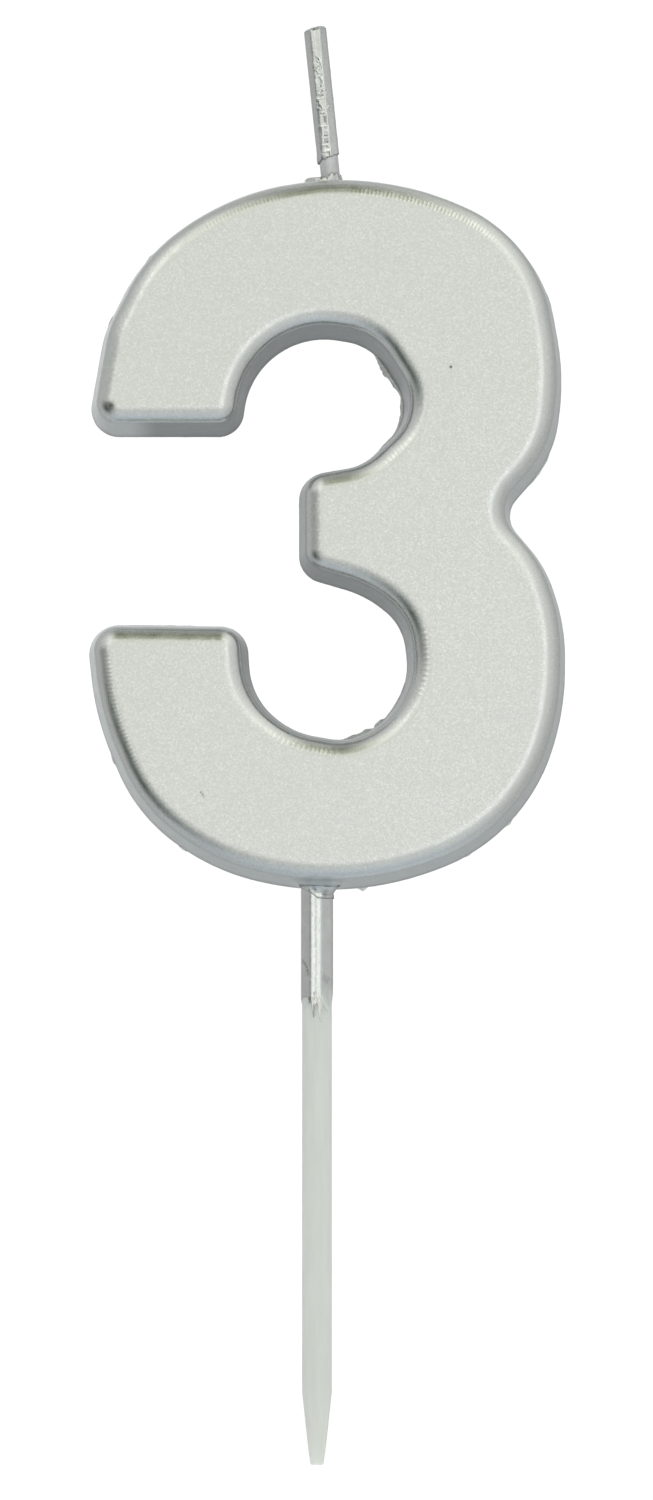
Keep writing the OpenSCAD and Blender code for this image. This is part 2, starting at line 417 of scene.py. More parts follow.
def inside_test(poly):
    """A quick test of whether a point lies in a polygon, with its edges sorted by height."""
    rows = {}
    for i in range(len(poly)):
        a, b = poly[i - 1], poly[i]
        for z in range(math.floor(min(a.y, b.y)), math.floor(max(a.y, b.y)) + 1):
            rows.setdefault(z, []).append((a, b))

    def test(p):
        hit = False
        for a, b in rows.get(math.floor(p.y), ()):
            if (a.y > p.y) != (b.y > p.y) and p.x < (b.x - a.x) * (p.y - a.y) / (b.y - a.y) + a.x:
                hit = not hit
        return hit

    return test


def grid_inside(poly, pitch, test):
    """Points of a triangular grid inside a polygon and clear of its edge."""
    x0, x1 = min(p.x for p in poly), max(p.x for p in poly)
    z0, z1 = min(p.y for p in poly), max(p.y for p in poly)
    near = {}
    for q in poly:
        near.setdefault((math.floor(q.x), math.floor(q.y)), []).append(q)
    out = []
    for row in range(math.ceil((z1 - z0) / (pitch * 0.866))):
        z = z0 + row * pitch * 0.866
        for col in range(math.ceil((x1 - x0) / pitch)):
            p = Vector((x0 + (col + 0.5 * (row % 2)) * pitch, z))
            if not test(p):
                continue
            col_x, row_z = math.floor(p.x), math.floor(p.y)
            cells = [(col_x + i, row_z + j) for i in (-1, 0, 1) for j in (-1, 0, 1)]
            close = (q for cell in cells for q in near.get(cell, ()))
            if all((p - q).length_squared > (0.6 * pitch) ** 2 for q in close):
                out.append(p)
    return out


# ------------------------------------------------------------------ rods: wick and pick
CRISPNESS = 40.0


def facet_radius(a, round_r, flats):
    """Radius of a rod at angle a: a circle with soft flats, each (facing, distance), in mm."""
    total = round_r ** -CRISPNESS
    for toward, dist in flats:
        c = math.cos(a - math.radians(toward))
        if c > 0.05:
            total += (dist / c) ** -CRISPNESS
    return total ** (-1 / CRISPNESS)


def rod(name, rings, inner=None):
    """A closed solid through rings of points (mm). With inner rings it is a tube, without it is capped."""
    sides = len(rings[0])
    loops = list(rings) + (list(inner[::-1]) if inner else [])
    verts = [mm(p) for ring in loops for p in ring]
    faces = []
    m = len(loops)
    for i in range(m if inner else m - 1):
        for k in range(sides):
            k2 = (k + 1) % sides
            j = (i + 1) % m
            faces.append((i * sides + k, i * sides + k2, j * sides + k2, j * sides + k))
    if not inner:
        for ring_index, flip in ((0, True), (m - 1, False)):
            verts.append(mm(sum((Vector(p) for p in loops[ring_index]), Vector((0, 0, 0))) / sides))
            for k in range(sides):
                f = (ring_index * sides + k, ring_index * sides + (k + 1) % sides, len(verts) - 1)
                faces.append(f[::-1] if flip else f)
    return new_object(name, verts, faces)


# Angles round a rod run anticlockwise from +X as seen from above; FRONT faces the viewer
FRONT = -90.0
TOP_Z = NUMERAL_Z + 70.35
WICK_X = 1.35
LEAN = math.radians(6)
WICK_L = 15.4
WICK_AXIS = Vector((-math.sin(LEAN), 0, math.cos(LEAN)))
WICK_U = Vector((math.cos(LEAN), 0, math.sin(LEAN)))
WICK_V = Vector((0, 1, 0))
WICK_ROOT = Vector((WICK_X, 0, TOP_Z))
# The wick's coat: outer and inner radius, height of its torn lower edge, and the dome that closes it
WICK_COAT_R = 1.135
WICK_BORE = 0.9
WICK_EDGE = 1.92
DOME_H = 0.42
DOME_R = 0.45
# Soft flats round the wick: facing angle and distance from its axis
WICK_FLATS = [
    (FRONT, 1.03), (FRONT - 50, 1.06), (FRONT + 45, 1.045), (FRONT + 110, 1.04), (FRONT + 180, 1.03),
]
# Ridges (+) and grooves (-) across the front of the wick where the plait shows through its coat:
# from (sideways, along) to (sideways, along), width, height, all in mm
WICK_MARKS = [
    (-0.30, 12.0, 0.09, 11.63, 0.13, -0.035), (-0.28, 11.65, -0.18, 11.45, 0.20, -0.03),
    (0.05, 11.95, 0.34, 10.93, 0.12, 0.035), (-0.58, 10.95, 0.0, 11.0, 0.10, -0.03),
    (-0.47, 10.95, -0.10, 10.40, 0.10, 0.03), (-0.31, 10.25, 0.32, 10.2, 0.10, -0.025),
    (0.05, 10.05, 0.28, 9.45, 0.24, 0.035), (-0.12, 9.07, -0.08, 9.0, 0.14, -0.04),
    (-0.05, 8.55, 0.02, 8.52, 0.12, -0.04), (0.45, 8.6, 0.5, 8.55, 0.10, -0.04),
    (-0.32, 8.34, 0.47, 8.36, 0.10, 0.035), (-0.48, 8.08, 0.02, 8.1, 0.11, -0.04),
    (-0.50, 7.82, 0.35, 7.84, 0.11, 0.04), (-0.52, 7.55, -0.50, 7.05, 0.12, -0.045),
    (-0.28, 7.3, -0.10, 7.0, 0.12, 0.035), (0.62, 7.08, 0.05, 6.42, 0.10, 0.045),
    (-0.27, 6.42, 0.05, 6.42, 0.11, 0.03), (0.27, 6.15, 0.25, 5.25, 0.10, 0.04),
    (-0.56, 6.75, -0.60, 5.25, 0.08, -0.04), (-0.10, 5.95, -0.08, 5.45, 0.18, -0.03),
    (-0.44, 5.05, 0.41, 5.07, 0.08, 0.035), (0.36, 4.94, 0.16, 3.25, 0.10, 0.03),
    (-0.32, 4.94, -0.46, 3.4, 0.10, 0.03), (-0.30, 4.08, 0.0, 4.05, 0.11, -0.03),
    (-0.40, 3.42, 0.05, 3.42, 0.10, -0.045), (-0.49, 3.18, 0.07, 3.2, 0.09, 0.04),
    (-0.40, 2.55, 0.15, 2.6, 0.22, 0.03), (0.28, 2.94, 0.22, 2.2, 0.10, 0.04),
    (-0.05, 14.6, 0.0, 11.9, 0.08, -0.012), (-0.66, 4.9, -0.66, 2.4, 0.08, -0.03),
]


def wick_marks(across, s):
    """Summed height of the marks at a place on the wick's front."""
    total = 0.0
    for x1, s1, x2, s2, width, height in WICK_MARKS:
        if min(s1, s2) - 0.5 < s < max(s1, s2) + 0.5:
            dx, ds = x2 - x1, s2 - s1
            t = ((across - x1) * dx + (s - s1) * ds) / (dx * dx + ds * ds)
            t = min(1.0, max(0.0, t))
            d2 = (across - x1 - dx * t) ** 2 + (s - s1 - ds * t) ** 2
            total += height * math.exp(-2.5 * d2 / (width * width))
    return total


def plait_relief(s, a):
    """Relief of three plaited yarns showing through the coat, from -1 to 1."""
    h = -1.0
    for k in range(3):
        t = 2 * math.pi * s / 6.0 + 2 * math.pi * k / 3
        x, y = 0.58 * math.sin(t), 0.3 * math.sin(2 * t)
        d = x * math.cos(a) + y * math.sin(a)
        off = abs(-x * math.sin(a) + y * math.cos(a))
        h = max(h, d / 0.6 - (off / 0.42) ** 2)
    return max(-1.0, min(1.0, h))


def wick_point(s, a, r):
    """A point at a distance along the wick, an angle round it and a radius from its axis."""
    return WICK_ROOT + WICK_AXIS * s + (WICK_U * math.cos(a) + WICK_V * math.sin(a)) * r


def build_wick_coat():
    """Thick glossy coat: soft flats that twist a little, plait marks, a rounded end and a torn lower edge."""
    sides, rows, dome = 120, 260, 12
    angles = [2 * math.pi * k / sides for k in range(sides)]
    outer, inner, painted_shading = [], [], []
    for i in range(rows + 1 + dome):
        ring, ring_in = [], []
        for a in angles:
            c, s_a = math.cos(a), math.sin(a)
            torn = 0.09 * fbm(c * 2.6, s_a * 2.6, 4.0, 3) + 0.05 * fbm(c * 9, s_a * 9, 1.0, 2)
            lo = WICK_EDGE + 0.28 * c + torn - 0.24 * math.exp(-((a - math.pi) / 0.5) ** 2)
            hi = WICK_L - DOME_H - 0.34 + 0.11 * c
            s = lo + (hi - lo) * min(1.0, i / rows)
            twist = math.radians(0.75 * s - 12)
            r = facet_radius(a - twist, WICK_COAT_R, WICK_FLATS)
            marked = min(1.0, max(0.0, (12.6 - s) / 1.6))
            lateral = math.cos(a - twist)
            drawn = wick_marks(1.1 * c, s) if s_a < 0 else 0.0
            bend = s + 0.75 * abs(lateral - 0.1)
            line = max(0.0, 1 - abs(2.6 * fbm(bend * 0.9, lateral * 0.8, 21.0, 2))) if s_a > -0.2 else 0.3
            r += drawn + 0.020 * marked * (line ** 3 - 0.25) + 0.010 * marked * plait_relief(s, a)
            r += 0.012 * fbm(s * 1.1, c * 1.6, s_a * 1.6, 3)
            r += 0.005 * marked * fbm(s * 6.0, c * 5, s_a * 5, 2)
            r -= 0.006 * (1 - marked) * math.sin(9.5 * lateral)
            r = min(r, WICK_COAT_R)
            r += 0.07 * math.exp(-((s - lo - 0.4) / 0.35) ** 2) * max(0.0, -c)
            r -= 0.09 * math.exp(-((s - lo) / 0.05) ** 2)
            if i > rows:
                t = (i - rows) / dome * math.pi / 2
                s = hi + DOME_H * math.sin(t) * (1 + 0.06 * fbm(c * 2, s_a * 2, 8.0, 2))
                r = (r - DOME_R) + DOME_R * math.cos(t)
            ring.append(wick_point(s, a, r))
            # painted shading: darker along the torn lower edge and in a ring where the dome starts, a painted
            # highlight on the plait's ridges and painted shade in its grooves
            torn_edge = max(0.0, 1 - (s - lo) / 0.16)
            end_rim = 0.3 if rows < i < rows + 4 else 0.0
            painted_shading.append(max(-0.3, min(1.0, torn_edge + end_rim - 9 * drawn)))
            if i <= rows:
                ring_in.append(wick_point(s, a, WICK_BORE))
        outer.append(ring)
        if ring_in:
            inner.append(ring_in)
    # close the end with shrinking rings, and the inside with a flat just under the dome
    for shrink in (0.6, 0.25):
        centre = sum(outer[-1], Vector((0, 0, 0))) / sides
        outer.append([centre.lerp(p, shrink) + WICK_AXIS * 0.01 * (1 - shrink) for p in outer[rows + dome]])
    verts = [mm(p) for ring in outer for p in ring]
    faces = ring_quads(0, len(outer), sides)
    verts.append(mm(sum(outer[-1], Vector((0, 0, 0))) / sides))
    tip = len(verts) - 1
    last = (len(outer) - 1) * sides
    faces += [(last + k, last + (k + 1) % sides, tip) for k in range(sides)]
    base = len(verts)
    verts += [mm(p) for ring in inner for p in ring]
    faces += [f[::-1] for f in ring_quads(base, len(inner), sides)]
    top = base + (len(inner) - 1) * sides
    verts.append(mm(sum(inner[-1], Vector((0, 0, 0))) / sides))
    faces += [(top + (k + 1) % sides, top + k, len(verts) - 1) for k in range(sides)]
    faces += [((k + 1) % sides, k, base + k, base + (k + 1) % sides) for k in range(sides)]
    ob = new_object("wick_silver_coat", verts, faces)
    point_values(ob, "painted_shading", painted_shading + [0.0] * (len(verts) - len(painted_shading)))
    return ob


def ring_quads(first, count, sides):
    """Quads between rings of vertices that follow one another from a first index."""
    out = []
    for i in range(count - 1):
        for k in range(sides):
            a, b = first + i * sides + k, first + i * sides + (k + 1) % sides
            out.append((a, b, b + sides, a + sides))
    return out


def build_wick_collar():
    """Thin ragged film at the foot of the wick, with a few lumps on its right."""
    sides, cx, reach, floor_z = 140, 0.66, 1.86, TOP_Z - 0.95
    shares = (1.0, 0.975, 0.94, 0.9, 0.85, 0.8, 0.75, 0.7, 0.65, 0.6, 0.55, 0.5, 0.45, 0.4, 0.3)
    rings = []
    for j, share in enumerate((1.02,) + shares):
        ring = []
        for k in range(sides):
            a = 2 * math.pi * k / sides
            c, s_a = math.cos(a), math.sin(a)
            ragged = 0.05 * fbm(c * 3, s_a * 3, 6.0, 3) + 0.02 * fbm(c * 11, s_a * 11, 2.0, 2)
            r = reach * share * (1 + ragged)
            x, y = cx + r * c, r * s_a
            right = min(1.0, max(0.0, (x - 0.7) / 0.8))
            lump = 0.6 * max(0.0, fbm(x * 2.6, y * 2.6, 12.4, 2) + 0.3) * right
            film = 0.13 + 0.05 * fbm(x * 1.2, y * 1.2, 3.0, 2)
            height = (film + lump) * min(1.0, (1.02 - share) / 0.08) + 0.02
            z = floor_z if j == 0 else TOP_Z - 0.28 + height * (1.3 if share < 0.75 else 1.0)
            ring.append((x, y, min(z, TOP_Z + 0.5)))
        rings.append(ring)
    return rod("wick_foot_film", rings)


# ------------------------------------------------------------------ pick
PICK_R = 1.47
SHANK_L = 38.0
TAPER_L = 7.1
TIP_R = 0.7
TIP_ROUND = 0.3
HEAD_L = 11.0
# The neck of the pick above its shank, where it is sprayed, and the ribs on the head in the wax
NECK_R = 1.3
RIB_HEIGHTS = (3, 5.5, 8)
# The lacquer round the pick: radius before its flats, greatest radius and bore
COAT_R = 1.595
COAT_MAX = 1.60
COAT_BORE = 1.22
# Soft flats on the lacquer round the pick: facing angle and distance from its axis
PICK_FLATS = [(FRONT + 4, 1.40), (FRONT - 47, 1.49), (FRONT + 38, 1.345)]
# Small marks in that lacquer: degrees from the front, height, radius, height of the mark
COAT_MARKS = [
    (-62, 4.5, 0.16, -0.05), (-53, 4.25, 0.16, -0.06), (-44, 3.95, 0.16, -0.06), (-38, 3.55, 0.16, -0.06),
    (-35, 3.2, 0.15, -0.04), (27, 3.6, 0.12, 0.05), (52, 2.6, 0.35, -0.03), (35, 2.9, 0.3, -0.02),
    (-10, 1.3, 0.10, -0.04), (-14, 0.75, 0.12, -0.03),
]
BEAD_MARKS = [
    (-12, 11.68, 0.20, -0.09), (-28, 11.9, 0.3, 0.05), (18, 11.9, 0.28, 0.10), (2, 11.55, 0.35, 0.06),
    (36, 11.35, 0.35, -0.06), (-2, 12.0, 0.2, 0.05), (55, 11.8, 0.3, 0.05), (24, 10.95, 0.25, 0.05),
]


def facing(a):
    """Degrees from the front of a rod, positive to the right."""
    return (math.degrees(a) - FRONT + 180) % 360 - 180


def marks_at(marks, a, z):
    """Summed height of small round marks at an angle and a height on the pick."""
    total = 0.0
    for f0, z0, radius, height in marks:
        d2 = ((facing(a) - f0) * math.radians(PICK_R)) ** 2 + (z - z0) ** 2
        if d2 < 6 * radius * radius:
            total += height * math.exp(-d2 / (radius * radius))
    return total


def build_pick_stem():
    """Moulded pick: ribbed head in the wax, slimmer where it is sprayed, round shank, blunt taper."""
    tip_z = -SHANK_L - TAPER_L
    axis_r = 0.05
    profile = [(axis_r, tip_z)]
    for k in range(7):
        a = math.radians(-90 + 15 * k)
        profile.append((TIP_R - TIP_ROUND + TIP_ROUND * math.cos(a), tip_z + TIP_ROUND * (1 + math.sin(a))))
    for k in range(1, 9):
        f = k / 8
        bow = 0.04 * math.sin(math.pi * f)
        r = TIP_R + (PICK_R - TIP_R) * f + bow * (1 - f)
        profile.append((r, tip_z + TIP_ROUND + (TAPER_L - TIP_ROUND) * f))
    profile += [(PICK_R, -SHANK_L + SHANK_L * k / 40) for k in range(1, 40)]
    profile += [(PICK_R, -0.1), (PICK_R - 0.01, 0.3), (NECK_R, 1.6), (NECK_R, NUMERAL_Z)]
    for rib in RIB_HEIGHTS:
        z = NUMERAL_Z + rib
        profile += [(1.5, z - 0.8), (1.9, z - 0.2), (1.9, z + 0.2), (1.5, z + 0.8)]
    head_z = NUMERAL_Z + HEAD_L
    profile += [(1.5, head_z - 0.5), (1.0, head_z), (axis_r, head_z)]
    sides = 72
    rings = []
    for r, z in profile:
        ring = []
        for k in range(sides):
            a = 2 * math.pi * k / sides
            # the two halves of the mould leave a faint seam down each side
            seam = 0.008 * math.exp(-(math.sin(a) / 0.05) ** 2) if abs(r - PICK_R) < 0.01 else 0.0
            wobble = 0.004 * fbm(math.cos(a), math.sin(a), z * 0.2, 2)
            r_side = r - 0.008 + seam
            ring.append(((r_side + min(0.0, wobble)) * math.cos(a), r_side * math.sin(a), z))
        rings.append(ring)
    return rod("pick_bare_stem", rings)


def spray_edge(a):
    """Height of the torn lower edge of the lacquer round the pick."""
    f = facing(a)
    z = 0.45 + 0.2 * fbm(math.cos(a) * 2, math.sin(a) * 2, 3.3, 3)
    z += 0.55 * math.exp(-((f + 52) / 26) ** 2)
    z -= 1.5 * math.exp(-((f + 13) / 6.0) ** 2) + 1.9 * math.exp(-((f - 13) / 6.0) ** 2)
    z -= 0.9 * math.exp(-((f - 52) / 24) ** 2)
    return z + 0.07 * fbm(math.cos(a) * 14, math.sin(a) * 14, 9.0, 2)


def build_pick_coat():
    """Glossy lacquer on the pick: flats, two faint grooves, run marks and a torn, fading lower edge."""
    sides, rows = 240, 170
    outer, inner, painted_shading, thin = [], [], [], []
    for i in range(rows + 1):
        ring, ring_in = [], []
        for k in range(sides):
            a = 2 * math.pi * k / sides
            c, s_a = math.cos(a), math.sin(a)
            f = facing(a)
            # on the left a thin film reaches below the torn edge
            torn = spray_edge(a)
            left = math.exp(-((f + 56) / 26) ** 4)
            lo = torn - 0.9 * left
            z = lo + (NUMERAL_Z + 0.6 - lo) * (i / rows) ** 1.7
            drip = math.exp(-((f + 3) / 20) ** 4)
            fade = (0.7 + 0.7 * min(1.0, max(0.0, f / 30))) * (1 - drip) + 0.3 * drip
            full = min(1.0, max(0.0, (z - lo) / fade))
            full = full * full * (3 - 2 * full)
            r = facet_radius(a, COAT_R, PICK_FLATS)
            across = r * c
            band = math.exp(-((across + 0.12) / 0.5) ** 4)
            drift = 0.05 * fbm(z * 0.25, 1.0, 2.0, 2)
            r -= 0.0067 * band * math.sin(2 * math.pi * (across + drift + 0.4) / 0.6)
            r = (PICK_R + 0.012) * (1 - full) + max(r, NECK_R) * full
            uneven = 0.008 * fbm(z * 0.5, c * 1.5, s_a * 1.5, 3) + 0.004 * fbm(z * 2.5, c * 6, s_a * 6, 2)
            r += uneven * full
            mark = marks_at(COAT_MARKS, a, z)
            bare = PICK_R - (PICK_R - NECK_R) * min(1.0, max(0.0, (z - 0.3) / 1.3))
            r = min(max(r, bare + 0.015) + mark, COAT_MAX)
            if i == 0:
                r = PICK_R - 0.02
            inside = PICK_R - 0.03 if z < 0.4 else COAT_BORE
            ring.append((r * c, r * s_a, z))
            ring_in.append((inside * c, inside * s_a, z))
            # painted shade along the torn lower edge and in the pits of the run marks
            edge = 0.35 * max(0.0, 1 - (z - lo) / 0.14) * (1 - left)
            edge += 0.25 * math.exp(-((z - torn) / 0.09) ** 2) * left
            painted_shading.append(min(1.0, edge + max(0.0, -12 * mark)))
            right = math.exp(-((f - 55) / 32) ** 4)
            film = left * min(1.0, max(0.0, (torn + 0.04 - z) / 0.1))
            film *= 0.6 + 0.4 * min(1.0, (torn - z) / 0.9)
            worn = right * max(0.0, 1 - (z - lo) / 2.6) ** 1.3
            worn += 0.35 * max(0.0, 1 - (z - lo) / 0.5) * (1 - drip)
            thin.append(max(film, worn))
        outer.append(ring)
        inner.append(ring_in)
    ob = rod("pick_silver_coat", outer, inner)
    spare = [0.0] * (len(ob.data.vertices) - len(painted_shading))
    point_values(ob, "painted_shading", painted_shading + spare)
    point_values(ob, "thin", [min(1.0, t) for t in thin] + spare)
    return ob


def build_pick_bead():
    """Meniscus of lacquer and wax under the numeral: nothing on the left, full on the right."""
    sides, rows = 180, 40
    rings, painted_shading = [], []
    for i in range(rows + 1):
        t = i / rows
        ring = []
        for k in range(sides):
            a = 2 * math.pi * k / sides
            c, s_a = math.cos(a), math.sin(a)
            side = 0.5 + 0.5 * math.cos(a + 0.35)
            depth = 0.15 + 1.2 * min(1.0, 1.45 * side) ** 1.6 + 0.06 * fbm(c * 2, s_a * 2, 5.0, 2)
            z = NUMERAL_Z + 0.35 - (depth + 0.35) * (1 - t)
            up = min(1.0, max(0.0, (z - NUMERAL_Z + 0.85) / 1.0))
            flare = 0.05 + (0.10 + 0.78 * side) * up ** 1.5
            roll = 0.06 * math.sin(math.pi * min(1.0, t * 3.0)) * side
            mark = marks_at(BEAD_MARKS, a, z)
            r = facet_radius(a, COAT_R - 0.015, PICK_FLATS) + flare + roll + mark
            r += 0.02 * fbm(c * 3, s_a * 3, z * 2.0, 2)
            if i == 0:
                r = NECK_R
            ring.append((r * c, r * s_a, z))
            # painted shade: along the lower edge, along the contact line under the numeral, on the flanks
            # turned away from the front, and in the pits
            low = math.exp(-(t / 0.08) ** 2)
            top = math.exp(-((z - NUMERAL_Z + 0.03) / 0.10) ** 2)
            edge_on = math.exp(-((abs(facing(a)) - 90) / 22) ** 2)
            dip = max(0.0, -9 * mark)
            painted_shading.append(min(1.0, 0.9 * low + 0.8 * top + 0.5 * edge_on + dip))
        rings.append(ring)
    ob = rod("pick_root_film", rings)
    point_values(ob, "painted_shading", painted_shading + [0.0] * (len(ob.data.vertices) - len(painted_shading)))
    return ob


skin = build_skin()
wick_coat = build_wick_coat()
wick_film = build_wick_collar()
stem = build_pick_stem()
pick_coat = build_pick_coat()
pick_film = build_pick_bead()
PIECES = [
    (skin, "silver_skin", "silver_lacquer"),
    (wick_coat, "wick_silver_sleeve", "silver_gloss"),
    (wick_film, "wick_root_bead", "silver_lacquer"),
    (stem, "pick_stem", "pick_plastic"),
    (pick_coat, "pick_silver_sleeve", "silver_gloss"),
    (pick_film, "pick_root_bead", "silver_lacquer"),
]
for piece, cad_node, slot in PIECES:
    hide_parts(cad_node)
    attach(piece, "root")


# ------------------------------------------------------------------ materials
# Spacing of the tool marks along the edge, and the length along the outline where the inner chain runs
HATCH_PITCH = 0.42
COUNTER_U = (ARC_LEN[[st[0] for st in STATIONS].index(len(OUTER))], ARC_LEN[-1])


def material(name):
    m = bpy.data.materials.new(name)
    m.use_nodes = True
    nt = m.node_tree
    return m, nt, nt.nodes["Principled BSDF"]


def node(nt, kind, **values):
    nd = nt.nodes.new(kind)
    for k, v in values.items():
        if hasattr(nd, k):
            setattr(nd, k, v)
        else:
            nd.inputs[k.replace("_", " ")].default_value = v
    return nd


def coords(nt):
    return node(nt, "ShaderNodeTexCoord").outputs["Object"]


def noise_tex(nt, scale, detail=4.0, rough=0.5, dist=0.0):
    t = node(nt, "ShaderNodeTexNoise")
    t.inputs["Scale"].default_value = scale
    t.inputs["Detail"].default_value = detail
    t.inputs["Roughness"].default_value = rough
    t.inputs["Distortion"].default_value = dist
    nt.links.new(coords(nt), t.inputs["Vector"])
    return t


def maths(nt, op, a, b=None):
    m = node(nt, "ShaderNodeMath")
    m.operation = op
    for i, x in enumerate((a, b)):
        if x is None:
            continue
        if isinstance(x, (int, float)):
            m.inputs[i].default_value = x
        else:
            nt.links.new(x, m.inputs[i])
    return m.outputs[0]


def ramp(nt, fac, stops):
    r = node(nt, "ShaderNodeValToRGB")
    cr = r.color_ramp
    while len(cr.elements) < len(stops):
        cr.elements.new(0.5)
    for e, (p, c) in zip(cr.elements, stops):
        e.position = p
        e.color = (*c, 1) if len(c) == 3 else c
    nt.links.new(fac, r.inputs["Fac"])
    return r.outputs["Color"]


def maprange(nt, value, a, b, c, d, smooth=True):
    m = node(nt, "ShaderNodeMapRange")
    m.interpolation_type = "SMOOTHSTEP" if smooth else "LINEAR"
    m.inputs["From Min"].default_value = a
    m.inputs["From Max"].default_value = b
    m.inputs["To Min"].default_value = c
    m.inputs["To Max"].default_value = d
    nt.links.new(value, m.inputs["Value"])
    return m.outputs["Result"]


def window(nt, value, rise, fall):
    """1 between two soft steps and 0 outside them."""
    return maths(nt, "MULTIPLY", maprange(nt, value, *rise, 0, 1), maprange(nt, value, *fall, 1, 0))


def bump(nt, height, strength, distance, normal=None):
    b = node(nt, "ShaderNodeBump")
    b.inputs["Strength"].default_value = strength
    b.inputs["Distance"].default_value = distance
    nt.links.new(height, b.inputs["Height"])
    if normal is not None:
        nt.links.new(normal, b.inputs["Normal"])
    return b.outputs["Normal"]


def blend(nt, factor, colour, other):
    """A colour that goes over to another fixed one as the factor rises from 0 to 1."""
    m = node(nt, "ShaderNodeMixRGB")
    nt.links.new(factor, m.inputs["Fac"])
    nt.links.new(colour, m.inputs["Color1"])
    m.inputs["Color2"].default_value = other
    return m.outputs["Color"]


def point_value(nt, name):
    """A number stored on the mesh's points; 0 where the mesh has none."""
    return node(nt, "ShaderNodeAttribute", attribute_name=name).outputs["Fac"]


def keep_share(nt, mask, loss):
    """What is left of 1 where a mask takes a share of it away."""
    return maths(nt, "SUBTRACT", 1.0, maths(nt, "MULTIPLY", mask, loss))


def vector_maths(nt, op, a, b=None):
    """A vector operation on sockets or fixed values; SCALE takes a number second."""
    m = node(nt, "ShaderNodeVectorMath")
    m.operation = op
    second = m.inputs["Scale"] if op == "SCALE" else m.inputs[1]
    for socket, x in ((m.inputs[0], a), (second, b)):
        if isinstance(x, bpy.types.NodeSocket):
            nt.links.new(x, socket)
        elif x is not None:
            socket.default_value = x
    return m.outputs["Value" if op == "DOT_PRODUCT" else "Vector"]


def flakes(nt, cell, tilt, normal=None):
    """Aluminium flakes: each cell gets a shade from 0 to 1 and a normal tilted a few degrees."""
    cells = node(nt, "ShaderNodeTexVoronoi")
    cells.inputs["Scale"].default_value = 1.0 / cell
    nt.links.new(coords(nt), cells.inputs["Vector"])
    parts = node(nt, "ShaderNodeSeparateColor")
    nt.links.new(cells.outputs["Color"], parts.inputs[0])
    centred = vector_maths(nt, "SUBTRACT", cells.outputs["Color"], (0.5, 0.5, 0.5))
    if normal is None:
        normal = node(nt, "ShaderNodeNewGeometry").outputs["Normal"]
    tilted = vector_maths(nt, "ADD", normal, vector_maths(nt, "SCALE", centred, tilt))
    return parts.outputs[0], vector_maths(nt, "NORMALIZE", tilted)


